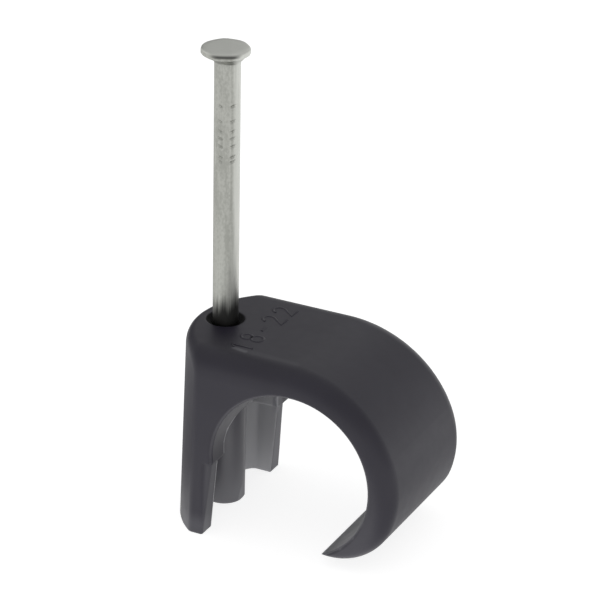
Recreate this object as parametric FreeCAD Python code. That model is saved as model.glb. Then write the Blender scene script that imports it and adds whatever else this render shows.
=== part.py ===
import FreeCAD, Part
import os
from math import asin, atan, cos, degrees, pi, radians, sin
from FreeCAD import Vector

# Nail-in cable clip: one moulded plastic body that hooks over a round cable, and its steel nail.
# Millimetres. Origin on the nail's axis in the wall plane, +Z away from the wall,
# +X from the nail to the hook, +Y along the cable.

# Cable channel
channel_radius = 9.83         # of the cable that the hook closes round
channel_gap = 0.49            # lowest point of the channel above the wall plane
channel_offset = 3.42         # from the nail's axis to the nearest point of the channel
clip_depth = 19.45            # length of the clip along the cable
mouth_chamfer = 0.3           # bevel of the channel's two end edges

# Outer line of the hook: a flat top and three arcs, each with the channel's radius plus an amount
crown_wall = 2.95             # flat top above the channel's highest point
crown_setback = 1.33          # the flat top ends this far short of the channel's axis
crown_extra = 4.62
crown_sweep = 66.2            # degrees
flank_extra = 1.75
flank_sweep = 42.9
tip_extra = -2.86
tip_sweep = 92.0              # runs on into the channel, which cuts it to a sharp tip

# Rounding of the outer edges, at the joints between the stretches of the outer line
edge_round_end = 0.65         # at the far end, behind the nail
edge_round_side = 1.05        # half-way from there to the upright corner
edge_round_corner = 1.54      # at the upright corner, on the end's side of it
edge_round_crown = 2.85       # also along the flat top
edge_round_shoulder = 2.22
edge_round_flank = 1.9
edge_round_tip = 0.3

# End of the body behind the nail, seen from above
end_reach = 4.22              # from the nail's axis to the end, at the wall plane
end_draft = 0.76              # how much shorter the reach is at the top
end_radius_extra = 2.435      # the end's big arc is this much larger than half the clip's depth
corner_round = 1.0            # rounding of the upright corners, where the arc meets the sides

# Foot: a wall on three sides with the nail's guide in the middle
leg_reach = 2.27              # from the nail's axis to the legs' free ends, at the wall plane
leg_slope = 0.09              # the free ends lean towards the hook by this much per millimetre
leg_wall = 2.25
leg_round_foot = 0.25         # rounding of the legs' upright outer edges
leg_round_lip = 1.0
end_wall = 1.3                # wall behind the nail
inner_corner_radius = 1.0

# Hollow in the foot
lip_height = 9.3              # above it the legs thicken into the cheeks that bear on the cable
lip_round = 0.4
cheek_wall = 3.2
roof_height = 13.9
roof_corner_radius = 3.4

# Guide for the nail
guide_radius_foot = 2.44
guide_radius_roof = 2.56
guide_foot_chamfer = 0.15
guide_web = 2.4               # thickness of the web that joins the guide to the wall behind it
nail_clearance = 0.05
sink_radius = 2.3             # of the shallow countersink at the top
sink_depth = 0.7

# Nail
nail_radius = 1.5
nail_length = 50.0
nail_stand = 33.3             # from the clip's top to the top of the head, before the nail is driven
head_radius = 2.85
head_rim = 0.45
head_edge_chamfer = 0.15
neck_radius = 2.5             # where the neck meets the underside of the head
neck_height = 1.55
point_length = 4.2
point_tip_width = 0.5         # side of the blunt square at the end of the four-sided point

# Worked out from the sizes above
channel_x = channel_offset + channel_radius
channel_z = channel_gap + channel_radius
body_height = channel_z + channel_radius + crown_wall
half_depth = clip_depth / 2
end_radius = half_depth + end_radius_extra
bore_radius = nail_radius + nail_clearance
head_top = body_height + nail_stand
nail_tip = head_top - nail_length
lean = atan(end_draft / body_height)
beyond = 4 * channel_radius   # well outside the body, for shapes that cut right through
spare = 1.0                   # how far a cutting shape runs past the face that it opens


def arc_edge(start, middle, end):
    return Part.Arc(start, middle, end).toShape()


def line_edges(*points):
    return [Part.LineSegment(a, b).toShape() for a, b in zip(points, points[1:])]


def middle_of(edge):
    return edge.valueAt((edge.FirstParameter + edge.LastParameter) / 2)


def mirrored(point):
    return Vector(point.x, -point.y, point.z)


def hook_arcs():
    """The hook's outer arcs in the XZ plane, from the crown to the tip, as edges."""
    edges = []
    angle = pi / 2
    start = Vector(channel_x - crown_setback, 0, body_height)
    stretches = (
        (crown_extra, crown_sweep),
        (flank_extra, flank_sweep),
        (tip_extra, tip_sweep),
    )
    for extra, sweep in stretches:
        radius = channel_radius + extra
        turn = radians(sweep)
        centre = start - Vector(cos(angle), 0, sin(angle)) * radius
        half_way = angle - turn / 2
        angle -= turn
        middle = centre + Vector(cos(half_way), 0, sin(half_way)) * radius
        end = centre + Vector(cos(angle), 0, sin(angle)) * radius
        edges.append(arc_edge(start, middle, end))
        start = end
    return edges


def side_face():
    """Face inside the outer line seen from the side, with no channel in it yet."""
    arcs = hook_arcs()
    crown_start = arcs[0].Vertexes[0].Point
    tip_end = arcs[-1].Vertexes[-1].Point
    far_top = Vector(-beyond, 0, body_height)
    under_side = line_edges(
        tip_end,
        Vector(channel_x, 0, channel_z),
        Vector(channel_x, 0, 0),
        Vector(-beyond, 0, 0),
        far_top,
    )
    return Part.Face(Part.Wire(line_edges(far_top, crown_start) + arcs + under_side))


def end_arcs(reach, half_width, radius, z):
    """Front half of the end's outline from above, from the upright corner, in two parts."""
    centre_x = radius - reach
    corner = asin(half_width / radius)

    def on_end(angle):
        return Vector(centre_x - radius * cos(angle), -radius * sin(angle), z)

    outer = arc_edge(on_end(corner), on_end(3 * corner / 4), on_end(corner / 2))
    inner = arc_edge(on_end(corner / 2), on_end(corner / 4), on_end(0))
    return [outer, inner]


def leaning_prism(reach, half_width, radius, top):
    """Prism on the end's outline, from below the wall plane up to a height, tilted by the draft."""
    bottom = -spare
    front = end_arcs(reach, half_width, radius, bottom)
    back = [edge.mirror(Vector(0, 0, 0), Vector(0, 1, 0)) for edge in front]
    corner = front[0].Vertexes[0].Point
    far_front = Vector(beyond, -half_width, bottom)
    sides = line_edges(mirrored(corner), mirrored(far_front), far_front, corner)
    outline = Part.Wire(Part.__sortEdges__(front + back + sides))
    prism = Part.Face(outline).extrude(Vector(0, 0, top - bottom))
    prism.rotate(Vector(0, 0, 0), Vector(0, 1, 0), degrees(lean))
    return prism


def sharp_body():
    """The body's outer form before its edges are rounded."""
    slab = side_face().extrude(Vector(0, 2 * clip_depth, 0))
    slab.translate(Vector(0, -clip_depth, 0))
    outline = leaning_prism(end_reach, half_depth, end_radius, body_height + spare)
    return slab.common(outline).removeSplitter()


def outer_edge_radii():
    """Points on the front half of the body's outer edges, from the tip, with the radii there."""
    to_front = Vector(0, -half_depth, 0)
    crown, flank, tip = [middle_of(edge) + to_front for edge in hook_arcs()]
    top_outline = end_arcs(end_reach - end_draft, half_depth, end_radius, body_height)
    side, end = [middle_of(edge) for edge in top_outline]
    top_corner = top_outline[0].Vertexes[0].Point
    foot_corner = end_arcs(end_reach, half_depth, end_radius, 0)[0].Vertexes[0].Point
    flat_top = (top_corner + hook_arcs()[0].Vertexes[0].Point + to_front) / 2
    return [
        (tip, edge_round_tip, edge_round_flank),
        (flank, edge_round_flank, edge_round_shoulder),
        (crown, edge_round_shoulder, edge_round_crown),
        (flat_top, edge_round_crown, edge_round_crown),
        ((top_corner + foot_corner) / 2, corner_round, corner_round),
        (side, edge_round_corner, edge_round_side),
        (end, edge_round_side, edge_round_end),
    ]


def round_edges(shape, spots):
    """Round the edges that pass through the given points. Each takes a first and a last radius."""
    radii = []
    for point, first, last in spots:
        vertex = Part.Vertex(point)
        distances = [edge.distToShape(vertex)[0] for edge in shape.Edges]
        radii.append((distances.index(min(distances)) + 1, first, last))
    document = FreeCAD.newDocument()
    base = document.addObject("Part::Feature", "Base")
    base.Shape = shape
    rounding = document.addObject("Part::Fillet", "Rounding")
    rounding.Base = base
    rounding.Edges = radii
    document.recompute()
    rounded = rounding.Shape.copy()
    FreeCAD.closeDocument(document.Name)
    return rounded


def rounded_body():
    """Outer form with its outer edge and its upright corners rounded."""
    front = outer_edge_radii()
    back = [(mirrored(point), last, first) for point, first, last in reversed(front)]
    return round_edges(sharp_body(), front + back)


def space_before_legs():
    """Space between the wall plane and the lip, up to the legs' free ends and their rounded edges."""
    lip_reach = leg_reach + leg_slope * lip_height
    corners = (
        Vector(-end_reach, -half_depth, 0),
        Vector(leg_reach, -half_depth, 0),
        Vector(lip_reach, -half_depth, lip_height),
        Vector(-end_reach, -half_depth, lip_height),
    )
    outline = Part.Wire(line_edges(*corners, corners[0]))
    legs = Part.Face(outline).extrude(Vector(0, clip_depth, 0))
    edge_middle = (corners[1] + corners[2]) / 2
    spots = [(point, leg_round_foot, leg_round_lip) for point in (edge_middle, mirrored(edge_middle))]
    space = Part.makeBox(channel_x + spare, clip_depth, lip_height, Vector(0, -half_depth, 0))
    return space.cut(round_edges(legs, spots))


def channel_cutter():
    """The cable's space, with both ends opening out in a bevel."""
    straight_end = Vector(channel_radius, half_depth - mouth_chamfer, 0)
    mouth_end = Vector(channel_radius + mouth_chamfer + spare, half_depth + spare, 0)
    axis_end = Vector(0, mouth_end.y, 0)
    half = [axis_end, mouth_end, straight_end]
    other_half = [mirrored(point) for point in reversed(half)]
    profile = Part.Face(Part.Wire(line_edges(*half, *other_half, axis_end)))
    cutter = profile.revolve(Vector(0, 0, 0), Vector(0, 1, 0), 360)
    cutter.translate(Vector(channel_x, 0, channel_z))
    return cutter


def guide():
    """Tapered post that the nail's bore runs through, with a web to the wall behind it."""
    taper = (guide_radius_roof - guide_radius_foot) / roof_height
    top = roof_height + spare
    outline = line_edges(
        Vector(0, 0, top),
        Vector(0, 0, 0),
        Vector(guide_radius_foot - guide_foot_chamfer, 0, 0),
        Vector(guide_radius_foot, 0, guide_foot_chamfer),
        Vector(guide_radius_foot + taper * top, 0, top),
        Vector(0, 0, top),
    )
    post = Part.Face(Part.Wire(outline)).revolve(Vector(0, 0, 0), Vector(0, 0, 1), 360)
    web = Part.makeBox(end_reach, guide_web, top, Vector(-end_reach, -guide_web / 2, 0))
    return post.fuse(web)


def foot_hollow():
    """Space between the legs, open to the channel and to the wall plane, round the nail's guide."""
    leg_face = half_depth - leg_wall
    cheek_face = half_depth - cheek_wall
    lip_swing = lip_round * sin(pi / 4)
    roof_swing = roof_corner_radius * sin(pi / 4)
    lip_centre = Vector(0, cheek_face + lip_round, lip_height + lip_round)
    roof_centre = Vector(0, cheek_face - roof_corner_radius, roof_height - roof_corner_radius)
    lip_start = Vector(0, lip_centre.y, lip_height)
    lip_middle = lip_centre - Vector(0, lip_swing, lip_swing)
    lip_end = Vector(0, cheek_face, lip_centre.z)
    roof_start = Vector(0, cheek_face, roof_centre.z)
    roof_middle = roof_centre + Vector(0, roof_swing, roof_swing)
    roof_end = Vector(0, roof_centre.y, roof_height)
    back = line_edges(Vector(0, leg_face, -spare), Vector(0, leg_face, lip_height), lip_start)
    back.append(arc_edge(lip_start, lip_middle, lip_end))
    back += line_edges(lip_end, roof_start)
    back.append(arc_edge(roof_start, roof_middle, roof_end))
    front = [edge.mirror(Vector(0, 0, 0), Vector(0, 1, 0)) for edge in back]
    roof = line_edges(roof_end, mirrored(roof_end))
    floor = line_edges(Vector(0, leg_face, -spare), Vector(0, -leg_face, -spare))
    section = Part.Face(Part.Wire(Part.__sortEdges__(back + front + roof + floor)))
    passage = section.extrude(Vector(end_reach + channel_x, 0, 0))
    passage.translate(Vector(-end_reach, 0, 0))
    inside = leaning_prism(end_reach - end_wall, leg_face, end_radius - end_wall, roof_height + spare)
    corner = end_arcs(end_reach - end_wall, leg_face, end_radius - end_wall, 0)[0].Vertexes[0].Point
    spots = [(point, inner_corner_radius, inner_corner_radius) for point in (corner, mirrored(corner))]
    return passage.common(round_edges(inside, spots)).cut(guide())


def nail_hole():
    """The guide's bore and its countersink at the top."""
    bore = Part.makeCylinder(bore_radius, body_height + 2 * spare, Vector(0, 0, -spare))
    widening = (sink_radius - bore_radius) / sink_depth
    countersink = Part.makeCone(
        bore_radius,
        sink_radius + widening * spare,
        sink_depth + spare,
        Vector(0, 0, body_height - sink_depth),
    )
    return bore.fuse(countersink)


def make_clip_body():
    body = rounded_body()
    for cutter in (space_before_legs(), channel_cutter(), foot_hollow(), nail_hole()):
        body = body.cut(cutter)
    return body


def make_nail():
    """Wire nail with a flat head, a curved neck and a four-sided point."""
    under_head = head_top - head_rim
    neck_foot = under_head - neck_height
    neck_width = neck_radius - nail_radius
    neck_curve = (neck_width ** 2 + neck_height ** 2) / (2 * neck_width)
    neck_half_turn = asin(neck_height / neck_curve) / 2
    neck_start = Vector(nail_radius, 0, neck_foot)
    neck_middle = neck_start + Vector(1 - cos(neck_half_turn), 0, sin(neck_half_turn)) * neck_curve
    neck_end = Vector(neck_radius, 0, under_head)
    edges = line_edges(Vector(0, 0, head_top), Vector(0, 0, nail_tip), Vector(nail_radius, 0, nail_tip), neck_start)
    edges.append(arc_edge(neck_start, neck_middle, neck_end))
    edges += line_edges(
        neck_end,
        Vector(head_radius, 0, under_head),
        Vector(head_radius, 0, head_top - head_edge_chamfer),
        Vector(head_radius - head_edge_chamfer, 0, head_top),
        Vector(0, 0, head_top),
    )
    turned = Part.Face(Part.Wire(edges)).revolve(Vector(0, 0, 0), Vector(0, 0, 1), 360)
    return turned.common(point_envelope())


def point_envelope():
    """Square shaft that narrows to a blunt point, round the nail from end to end."""
    full = 2 * nail_radius
    slope = (full - point_tip_width) / point_length
    wide = 2 * head_radius + full
    flare_top = nail_tip + (wide - point_tip_width) / slope

    def square(side, z):
        half = side / 2
        corners = [Vector(-half, -half, z), Vector(half, -half, z), Vector(half, half, z), Vector(-half, half, z)]
        return Part.makePolygon(corners + corners[:1])

    point = Part.makeLoft([square(point_tip_width, nail_tip), square(wide, flare_top)], True, True)
    shaft = Part.makeBox(wide, wide, head_top + spare - flare_top, Vector(-wide / 2, -wide / 2, flare_top))
    return point.fuse(shaft)


def export(shape, name):
    solid = shape.removeSplitter().Solids[0]
    solid.exportStep(os.path.join("parts", name + ".step"))
    print(name, "valid", solid.isValid(), "volume", round(solid.Volume, 2), "faces", len(solid.Faces))


def main():
    os.makedirs("parts", exist_ok=True)
    export(make_clip_body(), "clip_body")
    export(make_nail(), "nail")


main()
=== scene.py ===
from math import cos, exp, radians, sin

import bpy
from mathutils import Matrix, Vector


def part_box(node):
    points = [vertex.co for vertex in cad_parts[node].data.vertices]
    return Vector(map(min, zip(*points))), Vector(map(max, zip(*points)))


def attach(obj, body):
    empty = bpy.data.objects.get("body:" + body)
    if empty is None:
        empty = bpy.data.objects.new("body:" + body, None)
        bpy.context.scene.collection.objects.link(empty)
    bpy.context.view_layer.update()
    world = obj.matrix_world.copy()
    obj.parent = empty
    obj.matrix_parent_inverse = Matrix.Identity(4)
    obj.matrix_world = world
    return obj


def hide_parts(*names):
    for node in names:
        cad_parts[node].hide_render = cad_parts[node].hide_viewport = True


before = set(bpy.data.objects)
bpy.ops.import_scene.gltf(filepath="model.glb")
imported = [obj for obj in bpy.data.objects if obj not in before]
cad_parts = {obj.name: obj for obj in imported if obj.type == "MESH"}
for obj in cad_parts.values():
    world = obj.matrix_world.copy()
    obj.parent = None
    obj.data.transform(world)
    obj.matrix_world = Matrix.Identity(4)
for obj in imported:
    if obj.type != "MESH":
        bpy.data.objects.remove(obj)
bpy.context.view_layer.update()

mm = 0.001
white = (1.0, 1.0, 1.0, 1.0)

# Camera, at the photograph's viewing angle. Lengths in metres, angles in degrees.
camera_azimuth = 26.42
camera_elevation = 25.23
camera_roll = 1.12
camera_distance = 0.34857
camera_target = Vector((0.008, 0.0, 0.015))
camera_right = -0.001577       # how far the view's axis passes beside the target
camera_up = -0.011069          # how far it passes over the target
camera_sensor = 36.0
camera_lens = 181.56

# Studio: a floor like a softly lit white table, and a plain room
floor_size = 4.0
floor_glow = 0.8               # light that the floor gives off
floor_shade = 0.5              # its own colour, which takes the object's shadow
mirrored_glow = 0.7            # the same two in the object's reflections
mirrored_shade = 0.45
horizon_strength = 1.0
zenith_strength = 0.62
zenith_start = 0.1             # upward part of the direction where the room starts to darken
zenith_end = 0.66
# Darker sides of the room: direction, level, and cosines of the angles to it where it fades
room_sides = (
    (Vector((-0.76, 0.65, 0.0)), 0.2, 0.73, 0.97),
    (Vector((0.8, 0.6, 0.0)), 0.8, 0.35, 0.9),
)
# Painted shade and light on the floor, seen in reflections alone, in mm: middle, level, and the
# distances from the middle where they start and end to fade
floor_patches = (
    (-26.0, 6.0, 0.38, 12.0, 30.0),
    (34.0, 16.0, 0.72, 16.0, 42.0),
    (16.0, -14.0, 2.1, 4.0, 15.0),
    (-8.0, -17.0, 1.25, 4.0, 15.0),
    (6.0, 0.0, 0.88, 4.0, 12.0),
    (-48.0, 64.0, 0.45, 20.0, 60.0),
    (-14.0, 32.0, 0.5, 8.0, 26.0),
)

# Noises: scale, detail, and how far each axis counts
plastic_mottle = (260.0, 4.0, (1.0, 1.0, 1.0))
plastic_grain = (5200.0, 3.0, (1.0, 1.0, 1.0))
plastic_sheen = (700.0, 3.0, (1.0, 1.0, 1.0))
steel_streaks = (2400.0, 4.0, (1.0, 1.0, 0.04))
steel_cloud = (900.0, 4.0, (1.0, 1.0, 0.35))
steel_speckle = (4200.0, 2.0, (1.0, 1.0, 0.6))
noise_middle = 0.5             # level that they vary about

# Clip's plastic
plastic_colour = (0.0105, 0.0085, 0.0185, 1.0)
plastic_pale = (0.0125, 0.0105, 0.021, 1.0)
plastic_mottle_range = (0.35, 0.65)      # of the noise, from one colour to the other
plastic_roughness = (0.385, 0.415)
plastic_sheen_range = (0.3, 0.7)
plastic_edge = 0.35 * mm       # softness of the moulded edges
plastic_edge_samples = 8
plastic_bump = (0.1, 0.01 * mm)          # strength and depth of the grain

# Painted light on the foot's inner faces: a paler plastic colour
inside_light_colour = (0.31, 0.31, 0.325, 1.0)
inside_half_width = 7.6 * mm
inside_back = Vector((7.94 * mm, 0.0, 0.0))     # middle of the end wall's arc at the wall plane
inside_back_radius = 11.51 * mm                 # between the wall's two faces
inside_back_lean = 0.0329      # the end wall leans towards the hook by this much per unit of height
inside_front = (3.0 * mm, 3.4 * mm)      # where it ends towards the hook
inside_height = 14.0 * mm
inside_low = (6.0 * mm, 1.6)             # height under which it grows, and its level at the wall
inside_post_level = 0.25                 # its level at the guide post
inside_legs = (2.0 * mm, 6.5 * mm)       # distances across, in which it grows to the legs' level

# Painted light on the hook's inner face, paler towards the tip
channel_middle = Vector((13.25 * mm, 0.0, 10.32 * mm))
channel_reach = 9.95 * mm      # just past the channel's radius
tip_strength = 0.5             # share of the painted light's colour at the tip
tip_heights = (6.0 * mm, 14.0 * mm)      # where it starts to fade and ends

# Painted shade in the countersink round the nail, dark
hole_shade_colour = (0.002, 0.002, 0.0025, 1.0)
hole_radii = (2.15 * mm, 2.35 * mm)      # where it starts to fade and ends

# Colour of the painted light and painted highlights on the clip
painted_light_colour = (0.2, 0.2, 0.22, 1.0)
painted_light_core = 0.3              # part of a line's width that has the painted light in full
# Lines of painted light and painted highlights: start, end and width in mm, and strength
painted_light_lines = (
    ((4.5, -6.35, 23.1), (6.0, -6.6, 23.1), 0.42, 0.26),
    ((5.0, -6.3, 23.1), (12.5, -6.7, 22.9), 0.7, 0.06),
    ((2.45, -8.5, 0.5), (2.95, -8.5, 8.6), 1.2, 0.13),
    ((2.45, 8.6, 0.5), (2.95, 8.6, 8.6), 1.5, 0.35),
    ((0.2, -9.7, 0.0), (2.4, -9.6, 0.0), 3.0, 0.22),
    ((3.43, -6.53, 9.6), (3.47, -6.53, 11.0), 0.26, 0.7),
    ((3.47, -6.53, 11.0), (3.66, -6.2, 12.5), 0.26, 0.7),
    ((3.66, -6.2, 12.5), (3.95, -5.0, 13.5), 0.26, 0.7),
    ((3.35, 6.6, 9.3), (3.35, 6.6, 11.0), 0.6, 1.0),
    ((3.05, 7.6, 8.8), (3.45, 7.3, 10.4), 1.0, 0.35),
    ((17.87, -9.7, 1.64), (19.83, -9.7, 3.01), 0.36, 0.3),
    ((19.83, -9.7, 3.01), (21.40, -9.7, 4.82), 0.36, 0.3),
    ((21.40, -9.7, 4.82), (22.49, -9.7, 6.96), 0.36, 0.2),
)

# Raised size digits on the clip's top
digit_height = 2.7 * mm
digit_pitch = 2.65 * mm
digit_centre = Vector((5.1 * mm, -0.45 * mm))
digit_stroke = 0.3 * mm        # radius of the strokes
digit_relief = 0.08 * mm       # how far they stand out
digit_roundness = 3            # segments that round a stroke
closed_gap = 1e-6              # ends of a stroke that are nearer than this make it a closed one

# Nail's steel
steel_dark = (0.36, 0.365, 0.335, 1.0)
steel_pale = (0.47, 0.475, 0.44, 1.0)
steel_weights = (0.3, 0.35, 0.35)        # of the streaks, the cloud and the speckle in the tone
steel_tone_range = (0.4, 0.6)            # of their sum, from dark to pale
steel_roughness = (0.4, 0.5)
steel_roughness_range = (0.3, 0.7)       # of the cloud
steel_bump = (0.2, 0.02 * mm)            # strength and depth of the streaks

# Brighter steel: painted light on one side, and brighter low on the shank and on the head's top
steel_bright = (0.66, 0.67, 0.63, 1.0)
lit_side = Vector((0.895, 0.445, 0.0))
lit_side_start = 0.35 * mm         # distance from the axis towards that side
lit_side_end = 1.4 * mm
lit_side_raggedness = 1.2 * mm
# Heights where the brightening starts and is full, in mm, and its strength
bright_bands = ((35.0, 26.0, 0.28), (56.0, 56.25, 0.95))

# Painted shade: a darker foot of the bare shank as a painted reflection of the dark clip, and a
# darker line along the head's rim
steel_shade_colour = (0.06, 0.06, 0.058, 1.0)
foot_shade_start = 24.3 * mm        # heights where the painted shade starts to fade and ends
foot_shade_end = 27.2 * mm
foot_shade_raggedness = 4.0 * mm
foot_shade_slope = 0.42             # rise towards the worn side
rim_dark_middle = Vector((1.09 * mm, -2.57 * mm, 56.0 * mm))
rim_dark_reach = (0.9 * mm, 2.2 * mm)    # distances from there where it starts to fade and ends
rim_dark_height = (0.04 * mm, 0.3 * mm)  # the same up and down
rim_dark_strength = 0.9

# Nail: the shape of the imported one, with the marks of its making
nail_radius = 1.5 * mm
nail_sides = 160
ring_step = 0.09 * mm          # between the mesh's rings where there are grip marks
plain_step = 0.8 * mm          # and where there are none
grip_margin = 1.0              # of fine rings over and under the grip marks, in mm
point_steps = 24               # rings of the point
sharp_angle = 35.0             # edges sharper than this, in degrees, stay sharp
head_shares = (0.25, 0.5, 0.75)          # of the flat top's radius, for the rings on it
# Flats on the head's edge: side in degrees, and distance from the middle as a part of the radius
head_flats = ((-63.0, 0.955), (-115.0, 0.97), (-10.0, 0.97),
              (50.0, 0.99), (95.0, 0.98), (150.0, 0.985))
head_sharpness = 24            # of the corners between the flats
head_tilt = 1.2                # degrees, lower towards the flattest side
head_shift = 0.2 * mm          # away from the shank's axis
head_shift_side = 206.0        # degrees
# Head and neck: depth below the top and radius, in mm, and how much of the flats is left there
head_profile = (
    (0.0, 2.5, 1.0), (0.04, 2.66, 1.0), (0.12, 2.76, 1.0), (0.28, 2.81, 1.0), (0.6, 2.81, 1.0),
    (0.76, 2.72, 0.9), (0.87, 2.5, 0.6), (0.95, 2.24, 0.2), (1.1, 2.09, 0.05), (1.3, 1.91, 0.0),
    (1.5, 1.7, 0.0), (1.65, 1.56, 0.0), (1.8, 1.51, 0.0),
)
point_length = 4.2 * mm
point_tip = 0.25 * mm          # half of the blunt point's side
grip_depths = (6.65, 8.45, 9.65, 10.5, 11.45, 12.75, 13.3)   # below the head's top, in mm
grip_sides = (-93.0, -36.0, 87.0, 144.0)                     # degrees round the shank
grip_length = 0.72 * mm        # round the shank
grip_height = 0.25 * mm
grip_depth = 0.16 * mm
grip_slant = 0.28              # rise for each unit round the shank
grip_unevenness = 0.15         # how much the marks differ in depth
grip_phases = (5.0, 2.0)       # of the wave that makes them uneven, for each row and each side


def put(tree, socket, value):
    """Set a node's input, or join it to another node's output."""
    if isinstance(value, bpy.types.NodeSocket):
        tree.links.new(value, socket)
    else:
        socket.default_value = value


def calc(tree, operation, *values, clamp=False):
    node = tree.nodes.new("ShaderNodeMath")
    node.operation = operation
    node.use_clamp = clamp
    for socket, value in zip(node.inputs, values):
        put(tree, socket, value)
    return node.outputs[0]


def ramp(tree, value, start, end, at_start=0.0, at_end=1.0):
    """Smooth change from one level to another as the value runs from start to end."""
    node = tree.nodes.new("ShaderNodeMapRange")
    node.interpolation_type = "SMOOTHSTEP"
    names = ("Value", "From Min", "From Max", "To Min", "To Max")
    for name, level in zip(names, (value, start, end, at_start, at_end)):
        put(tree, node.inputs[name], level)
    return node.outputs["Result"]


def dot(tree, vector, direction):
    node = tree.nodes.new("ShaderNodeVectorMath")
    node.operation = "DOT_PRODUCT"
    put(tree, node.inputs[0], vector)
    put(tree, node.inputs[1], direction)
    return node.outputs["Value"]


def distance(tree, first, second):
    node = tree.nodes.new("ShaderNodeVectorMath")
    node.operation = "DISTANCE"
    put(tree, node.inputs[0], first)
    put(tree, node.inputs[1], second)
    return node.outputs["Value"]


def blend(tree, factor, first, second, kind="FLOAT"):
    """Mix two levels, or two colours if the kind is RGBA."""
    node = tree.nodes.new("ShaderNodeMix")
    node.data_type = kind
    sockets = {socket.name: socket for socket in node.inputs if socket.enabled}
    put(tree, sockets["Factor"], factor)
    put(tree, sockets["A"], first)
    put(tree, sockets["B"], second)
    return next(socket for socket in node.outputs if socket.enabled)


def blend_colour(tree, factor, first, second):
    return blend(tree, factor, first, second, "RGBA")


def noise(tree, vector, scale, detail, stretch):
    mapping = tree.nodes.new("ShaderNodeMapping")
    mapping.inputs["Scale"].default_value = stretch
    put(tree, mapping.inputs["Vector"], vector)
    node = tree.nodes.new("ShaderNodeTexNoise")
    node.inputs["Scale"].default_value = scale
    node.inputs["Detail"].default_value = detail
    put(tree, node.inputs["Vector"], mapping.outputs[0])
    return node.outputs["Fac"]


def new_material(name):
    material = bpy.data.materials.new(name)
    material.use_nodes = True
    return material, material.node_tree


def add_camera():
    azimuth = radians(camera_azimuth)
    elevation = radians(camera_elevation)
    forward = Vector((
        -sin(azimuth) * cos(elevation),
        cos(azimuth) * cos(elevation),
        -sin(elevation),
    ))
    level = Vector((cos(azimuth), sin(azimuth), 0.0))
    upright = level.cross(forward)
    roll = radians(camera_roll)
    right = level * cos(roll) + upright * sin(roll)
    up = upright * cos(roll) - level * sin(roll)
    place = camera_target - forward * camera_distance - right * camera_right - up * camera_up
    data = bpy.data.cameras.new("camera")
    data.sensor_width = camera_sensor
    data.lens = camera_lens
    camera = bpy.data.objects.new("camera", data)
    turn = Matrix((right, up, -forward)).transposed().to_4x4()
    camera.matrix_world = Matrix.Translation(place) @ turn
    bpy.context.collection.objects.link(camera)
    bpy.context.scene.camera = camera


def add_world():
    """A plain white room, brightest at the horizon and darker overhead and at two sides."""
    world = bpy.data.worlds.new("studio")
    bpy.context.scene.world = world
    world.use_nodes = True
    tree = world.node_tree
    tree.nodes.clear()
    direction = tree.nodes.new("ShaderNodeTexCoord").outputs["Generated"]
    height = dot(tree, direction, Vector((0.0, 0.0, 1.0)))
    level = ramp(tree, height, zenith_start, zenith_end, horizon_strength, zenith_strength)
    for side, strength, start, end in room_sides:
        aside = ramp(tree, dot(tree, direction, side), start, end, 1.0, strength)
        level = calc(tree, "MULTIPLY", level, aside)
    room = tree.nodes.new("ShaderNodeBackground")
    room.inputs["Color"].default_value = white
    put(tree, room.inputs["Strength"], level)
    backdrop = tree.nodes.new("ShaderNodeBackground")
    backdrop.inputs["Color"].default_value = white
    mix = tree.nodes.new("ShaderNodeMixShader")
    put(tree, mix.inputs["Fac"], tree.nodes.new("ShaderNodeLightPath").outputs["Is Camera Ray"])
    put(tree, mix.inputs[1], room.outputs[0])
    put(tree, mix.inputs[2], backdrop.outputs[0])
    out = tree.nodes.new("ShaderNodeOutputWorld")
    put(tree, out.inputs["Surface"], mix.outputs[0])


def floor_material():
    """Plain pale floor that takes the object's shadow, with patches of painted shade and light in
    reflections alone.
    """
    material, tree = new_material("floor")
    tree.nodes.clear()
    rays = tree.nodes.new("ShaderNodeLightPath")
    place = tree.nodes.new("ShaderNodeNewGeometry").outputs["Position"]
    patched = 1.0
    # patches of painted shade and light, seen in reflections alone
    for x, y, strength, start, end in floor_patches:
        away = distance(tree, place, Vector((x * mm, y * mm, 0.0)))
        patch = ramp(tree, away, start * mm, end * mm, strength, 1.0)
        patched = calc(tree, "MULTIPLY", patched, patch)

    def floor_level(direct, mirrored):
        reflected = calc(tree, "MULTIPLY", patched, mirrored)
        return blend(tree, rays.outputs["Is Glossy Ray"], direct, reflected)

    matte = tree.nodes.new("ShaderNodeBsdfDiffuse")
    put(tree, matte.inputs["Color"], floor_level(floor_shade, mirrored_shade))
    glow = tree.nodes.new("ShaderNodeEmission")
    glow.inputs["Color"].default_value = white
    put(tree, glow.inputs["Strength"], floor_level(floor_glow, mirrored_glow))
    both = tree.nodes.new("ShaderNodeAddShader")
    put(tree, both.inputs[0], matte.outputs[0])
    put(tree, both.inputs[1], glow.outputs[0])
    out = tree.nodes.new("ShaderNodeOutputMaterial")
    put(tree, out.inputs["Surface"], both.outputs[0])
    return material


def add_floor():
    half = floor_size / 2
    mesh = bpy.data.meshes.new("floor")
    corners = [(-half, -half, 0.0), (half, -half, 0.0), (half, half, 0.0), (-half, half, 0.0)]
    mesh.from_pydata(corners, [], [(0, 1, 2, 3)])
    floor = bpy.data.objects.new("floor", mesh)
    bpy.context.collection.objects.link(floor)
    mesh.materials.append(floor_material())


def split_place(tree, place):
    node = tree.nodes.new("ShaderNodeSeparateXYZ")
    put(tree, node.inputs[0], place)
    return node.outputs


def join_place(tree, x, y, z):
    node = tree.nodes.new("ShaderNodeCombineXYZ")
    for socket, value in zip(node.inputs, (x, y, z)):
        put(tree, socket, value)
    return node.outputs[0]


def product(tree, *factors):
    total = factors[0]
    for factor in factors[1:]:
        total = calc(tree, "MULTIPLY", total, factor)
    return total


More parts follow.
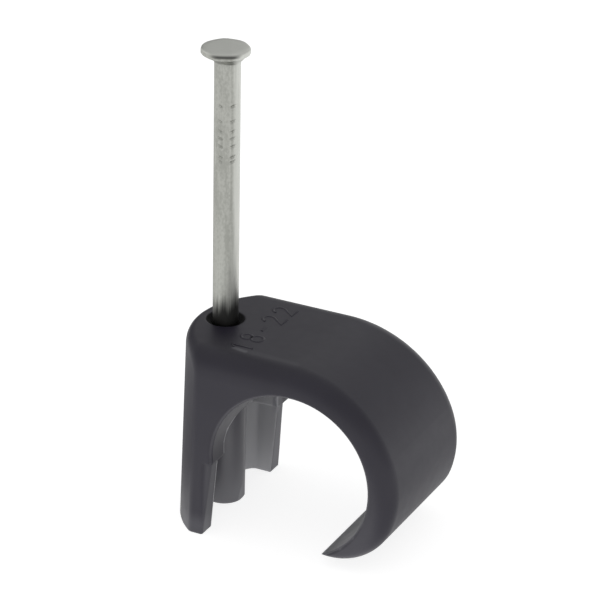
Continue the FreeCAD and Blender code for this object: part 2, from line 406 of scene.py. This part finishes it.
def inside_light_mask(tree, place):
    """Painted light: one on the foot's inner faces, more low down, less at the guide post, and none
    elsewhere.
    """
    x, y, z = split_place(tree, place)
    across = calc(tree, "ABSOLUTE", y)
    within = calc(tree, "LESS_THAN", across, inside_half_width)
    leaned_x = calc(tree, "SUBTRACT", x, calc(tree, "MULTIPLY", z, inside_back_lean))
    from_back = distance(tree, join_place(tree, leaned_x, y, 0.0), inside_back)
    before_wall = calc(tree, "LESS_THAN", from_back, inside_back_radius)
    behind_front = ramp(tree, x, *inside_front, 1.0, 0.0)
    low_height, low_level = inside_low
    low = ramp(tree, z, 0.0, low_height, low_level, 1.0)
    under = calc(tree, "LESS_THAN", z, inside_height)
    legs = ramp(tree, across, *inside_legs, inside_post_level, 1.0)
    return product(tree, within, before_wall, behind_front, low, under, legs)


def tip_light_mask(tree, place):
    """Painted light on the hook's inner face near its tip, fading upwards."""
    x, _, z = split_place(tree, place)
    from_middle = distance(tree, join_place(tree, x, 0.0, z), channel_middle)
    inner = calc(tree, "LESS_THAN", from_middle, channel_reach)
    beyond = calc(tree, "GREATER_THAN", x, channel_middle.x)
    low = ramp(tree, z, *tip_heights, tip_strength, 0.0)
    return product(tree, inner, beyond, low)


def hole_shade_mask(tree, place):
    """Painted shade: one in the countersink round the nail, which stays dark."""
    x, y, z = split_place(tree, place)
    from_axis = distance(tree, join_place(tree, x, y, 0.0), Vector((0.0, 0.0, 0.0)))
    near = ramp(tree, from_axis, *hole_radii, 1.0, 0.0)
    return product(tree, near, calc(tree, "GREATER_THAN", z, inside_height))


def line_mask(tree, place, start, end, width, strength):
    """Strength of painted light on a line from one point to another, both in mm, that fades within
    its width.
    """
    start, end = Vector(start) * mm, Vector(end) * mm
    along = (end - start) / (end - start).length_squared
    share = calc(tree, "SUBTRACT", dot(tree, place, along), start.dot(along), clamp=True)
    nearest = tree.nodes.new("ShaderNodeVectorMath")
    nearest.operation = "MULTIPLY_ADD"
    put(tree, nearest.inputs[0], share)
    put(tree, nearest.inputs[1], end - start)
    put(tree, nearest.inputs[2], start)
    away = distance(tree, place, nearest.outputs[0])
    return ramp(tree, away, painted_light_core * width * mm, width * mm, strength, 0.0)


def rough_normal(tree, shader, height, strength_and_depth, edges=None):
    """Let a height stand out on the shader's normal, on top of softened edges if there are any."""
    bump = tree.nodes.new("ShaderNodeBump")
    strength, depth = strength_and_depth
    bump.inputs["Strength"].default_value = strength
    bump.inputs["Distance"].default_value = depth
    put(tree, bump.inputs["Height"], height)
    if edges:
        put(tree, bump.inputs["Normal"], edges)
    put(tree, shader.inputs["Normal"], bump.outputs[0])


def plastic_material(name, moulded_edges):
    """Satin dark grey moulded plastic: faint mottling, paler places and lines of painted light,
    painted shade in the countersink, fine grain.
    """
    material, tree = new_material(name)
    shader = tree.nodes["Principled BSDF"]
    place = tree.nodes.new("ShaderNodeTexCoord").outputs["Object"]
    mottle = ramp(tree, noise(tree, place, *plastic_mottle), *plastic_mottle_range)
    outside = blend_colour(tree, mottle, plastic_colour, plastic_pale)
    # painted light on the foot's inner faces
    colour = blend_colour(tree, inside_light_mask(tree, place), outside, inside_light_colour)
    # painted light near the hook's tip
    colour = blend_colour(tree, tip_light_mask(tree, place), colour, painted_light_colour)
    # painted highlights and painted light along lines
    for line in painted_light_lines:
        colour = blend_colour(tree, line_mask(tree, place, *line), colour, painted_light_colour)
    # painted shade in the countersink
    hole = hole_shade_mask(tree, place)
    put(tree, shader.inputs["Base Color"], blend_colour(tree, hole, colour, hole_shade_colour))
    sheen = noise(tree, place, *plastic_sheen)
    rough = ramp(tree, sheen, *plastic_sheen_range, *plastic_roughness)
    put(tree, shader.inputs["Roughness"], blend(tree, hole, rough, 1.0))
    edges = None
    if moulded_edges:
        bevel = tree.nodes.new("ShaderNodeBevel")
        bevel.samples = plastic_edge_samples
        bevel.inputs["Radius"].default_value = plastic_edge
        edges = bevel.outputs[0]
    rough_normal(tree, shader, noise(tree, place, *plastic_grain), plastic_bump, edges)
    return material


def ragged(tree, value, streaks, raggedness):
    """A value in metres, moved to and fro by the steel's streaks."""
    swing = calc(tree, "SUBTRACT", streaks, noise_middle)
    return calc(tree, "ADD", value, calc(tree, "MULTIPLY", swing, raggedness))


def unshaded_share(tree, place, height, aside, streaks):
    """How free of painted shade the steel is: one, but less at the shank's foot and in a line along
    the rim.
    """
    slope = calc(tree, "MULTIPLY", aside, foot_shade_slope)
    sloped = calc(tree, "SUBTRACT", ragged(tree, height, streaks, foot_shade_raggedness), slope)
    unshaded = ramp(tree, sloped, foot_shade_start, foot_shade_end)
    from_line = distance(tree, place, rim_dark_middle)
    reach = ramp(tree, from_line, *rim_dark_reach, rim_dark_strength, 0.0)
    off_line = calc(tree, "ABSOLUTE", calc(tree, "SUBTRACT", height, rim_dark_middle.z))
    line = product(tree, reach, ramp(tree, off_line, *rim_dark_height, 1.0, 0.0))
    return product(tree, unshaded, calc(tree, "SUBTRACT", 1.0, line))


def bright_share(tree, height, aside, streaks):
    """How bright the steel is: painted light on one side, and brighter at the heights of the bands.
    """
    bright_level = ramp(tree, ragged(tree, aside, streaks, lit_side_raggedness), lit_side_start, lit_side_end)
    for start, full, strength in bright_bands:
        band = ramp(tree, height, start * mm, full * mm, 0.0, strength)
        bright_level = calc(tree, "ADD", bright_level, band, clamp=True)
    return bright_level


def steel_material():
    """Drawn wire: satin steel with fine streaks along the nail, brighter in places, partly with
    painted light, and darker with painted shade.
    """
    material, tree = new_material("nail_steel")
    shader = tree.nodes["Principled BSDF"]
    place = tree.nodes.new("ShaderNodeTexCoord").outputs["Object"]
    streaks = noise(tree, place, *steel_streaks)
    cloud = noise(tree, place, *steel_cloud)
    speckle = noise(tree, place, *steel_speckle)
    shade = 0.0
    for pattern, weight in zip((streaks, cloud, speckle), steel_weights):
        shade = calc(tree, "ADD", shade, calc(tree, "MULTIPLY", pattern, weight))
    tone = ramp(tree, shade, *steel_tone_range)
    height = dot(tree, place, Vector((0.0, 0.0, 1.0)))
    aside = dot(tree, place, lit_side)
    plain = blend_colour(tree, tone, steel_dark, steel_pale)
    # painted light on one side, and brighter bands
    bright = blend_colour(tree, bright_share(tree, height, aside, streaks), plain, steel_bright)
    # painted shade at the shank's foot and along the rim
    unshaded = unshaded_share(tree, place, height, aside, streaks)
    put(tree, shader.inputs["Base Color"], blend_colour(tree, unshaded, steel_shade_colour, bright))
    shader.inputs["Metallic"].default_value = 1.0
    rough = ramp(tree, cloud, *steel_roughness_range, *steel_roughness)
    put(tree, shader.inputs["Roughness"], rough)
    rough_normal(tree, shader, streaks, steel_bump)
    return material


def dress(node, material):
    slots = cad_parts[node].data.materials
    slots.clear()
    slots.append(material)


def turn_points(centre, radius, start, end, steps):
    """Points on an arc, from one angle to another in degrees."""
    angles = [radians(start + (end - start) * step / steps) for step in range(steps + 1)]
    return [(centre[0] + radius * cos(angle), centre[1] + radius * sin(angle)) for angle in angles]


def digit_strokes():
    """Strokes of each character, in digit heights, across and up from the middle of its foot."""
    one = [[(-0.14, 0.8), (0.06, 1.0), (0.06, 0.0)]]
    eight = [turn_points((0.0, 0.76), 0.24, 0, 360, 16), turn_points((0.0, 0.26), 0.27, 0, 360, 18)]
    dash = [[(-0.2, 0.45), (0.2, 0.45)]]
    two = [turn_points((0.0, 0.73), 0.27, 170, -35, 12) + [(-0.28, 0.0), (0.3, 0.0)]]
    return [one, eight, dash, two, two]


def add_digits(material):
    data = bpy.data.curves.new("size_digits", "CURVE")
    data.dimensions = "3D"
    data.bevel_depth = digit_stroke
    data.bevel_resolution = digit_roundness
    data.use_fill_caps = True
    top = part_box("clip_body")[1][2] + digit_relief - digit_stroke
    characters = digit_strokes()
    for place, strokes in enumerate(characters):
        middle = digit_centre.y + (place - (len(characters) - 1) / 2) * digit_pitch
        for stroke in strokes:
            spline = data.splines.new("POLY")
            closed = (Vector(stroke[0]) - Vector(stroke[-1])).length < closed_gap
            points = stroke[:-1] if closed else stroke
            spline.points.add(len(points) - 1)
            spline.use_cyclic_u = closed
            for point, (across, up) in zip(spline.points, points):
                x = digit_centre.x - (up - 0.5) * digit_height
                point.co = (x, middle + across * digit_height, top, 1.0)
    digits = bpy.data.objects.new("size_digits", data)
    bpy.context.collection.objects.link(digits)
    data.materials.append(material)
    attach(digits, "clip")


def head_outline(angle):
    """The head's outline at an angle in degrees, as a part of its radius, cut by soft flats."""
    total = 1.0
    for side, reach in head_flats:
        facing = max(0.0, cos(radians(angle - side)))
        total += (facing / reach) ** head_sharpness
    return total ** (-1.0 / head_sharpness)


def head_radius(angle, radius, flatness):
    """The head's radius at an angle, from its plain one in mm and how much of the flats is left."""
    return radius * mm * (1.0 + (head_outline(angle) - 1.0) * flatness)


def point_outline(angle, height):
    """Distance from the axis to the square point's face, at a height above the tip."""
    half = point_tip + (nail_radius - point_tip) * height / point_length
    turn = radians(angle)
    return half / max(abs(cos(turn)), abs(sin(turn)))


def grip_dent(angle, depth):
    """How deep the die's marks go at an angle and a depth below the head's top."""
    row_phase, side_phase = grip_phases
    dent = 0.0
    for number, side in enumerate(grip_sides):
        offset = (angle - side + 180.0) % 360.0 - 180.0
        along = radians(offset) * nail_radius
        slant = grip_slant if number % 2 == 0 else -grip_slant
        for row, place in enumerate(grip_depths):
            lift = depth - place * mm - slant * along
            fading = (along / (0.5 * grip_length)) ** 4 + (lift / (0.5 * grip_height)) ** 2
            wave = sin(row_phase * row + side_phase * number)
            uneven = 1.0 - grip_unevenness * (1.0 - wave)
            dent += uneven * grip_depth * exp(-fading)
    return dent


def nail_rings(top, tip):
    """Rings of the nail's surface from the middle of the head's top down to the tip."""
    angles = [360.0 * step / nail_sides for step in range(nail_sides)]
    tilt = sin(radians(head_tilt))
    shift_side = radians(head_shift_side)
    shift = Vector((cos(shift_side), sin(shift_side))) * head_shift
    flattest = radians(head_flats[0][0])
    lowered = max(radius for _, radius, _ in head_profile) * mm * tilt
    rings = []

    def add_ring(level, radius_at, headness=0.0):
        ring = []
        for angle in angles:
            radius = radius_at(angle)
            x = radius * cos(radians(angle)) + shift.x * headness
            y = radius * sin(radians(angle)) + shift.y * headness
            facing = x * cos(flattest) + y * sin(flattest)
            ring.append((x, y, level - (lowered + facing * tilt) * headness))
        rings.append(ring)

    for share in head_shares:
        add_ring(top, lambda angle: head_radius(angle, share * head_profile[0][1], 1.0), 1.0)
    for depth, radius, flatness in head_profile:
        level = top - depth * mm
        add_ring(level, lambda angle: head_radius(angle, radius, flatness), flatness)
    last_mark = top - (grip_depths[-1] + grip_margin) * mm
    first_mark = top - (grip_depths[0] - grip_margin) * mm
    while level > tip + point_length + ring_step:
        fine = last_mark < level < first_mark
        level -= ring_step if fine else plain_step
        level = max(level, tip + point_length)
        if fine:
            add_ring(level, lambda angle: nail_radius - grip_dent(angle, top - level))
        else:
            add_ring(level, lambda angle: nail_radius)
    for step in range(1, point_steps + 1):
        height = point_length * (1.0 - step / point_steps)
        add_ring(tip + height, lambda angle: min(nail_radius, point_outline(angle, height)))
    return rings


def add_nail(material):
    low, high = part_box("nail")
    rings = nail_rings(high[2], low[2])
    points = [point for ring in rings for point in ring]
    faces = []
    for number in range(len(rings) - 1):
        for side in range(nail_sides):
            beside = (side + 1) % nail_sides
            first, second = number * nail_sides, (number + 1) * nail_sides
            faces.append((first + side, second + side, second + beside, first + beside))
    last = (len(rings) - 1) * nail_sides
    faces.append(tuple(range(nail_sides)))
    faces.append(tuple(last + side for side in reversed(range(nail_sides))))
    mesh = bpy.data.meshes.new("nail_drawn")
    mesh.from_pydata(points, [], faces)
    mesh.validate()
    mesh.shade_smooth()
    mesh.set_sharp_from_angle(angle=radians(sharp_angle))
    nail = bpy.data.objects.new("nail_drawn", mesh)
    bpy.context.collection.objects.link(nail)
    mesh.materials.append(material)
    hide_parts("nail")
    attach(nail, "nail")


bpy.context.scene.view_settings.view_transform = "Standard"
add_camera()
add_world()
add_floor()
dress("clip_body", plastic_material("clip_plastic", True))
add_nail(steel_material())
add_digits(plastic_material("digit_plastic", False))
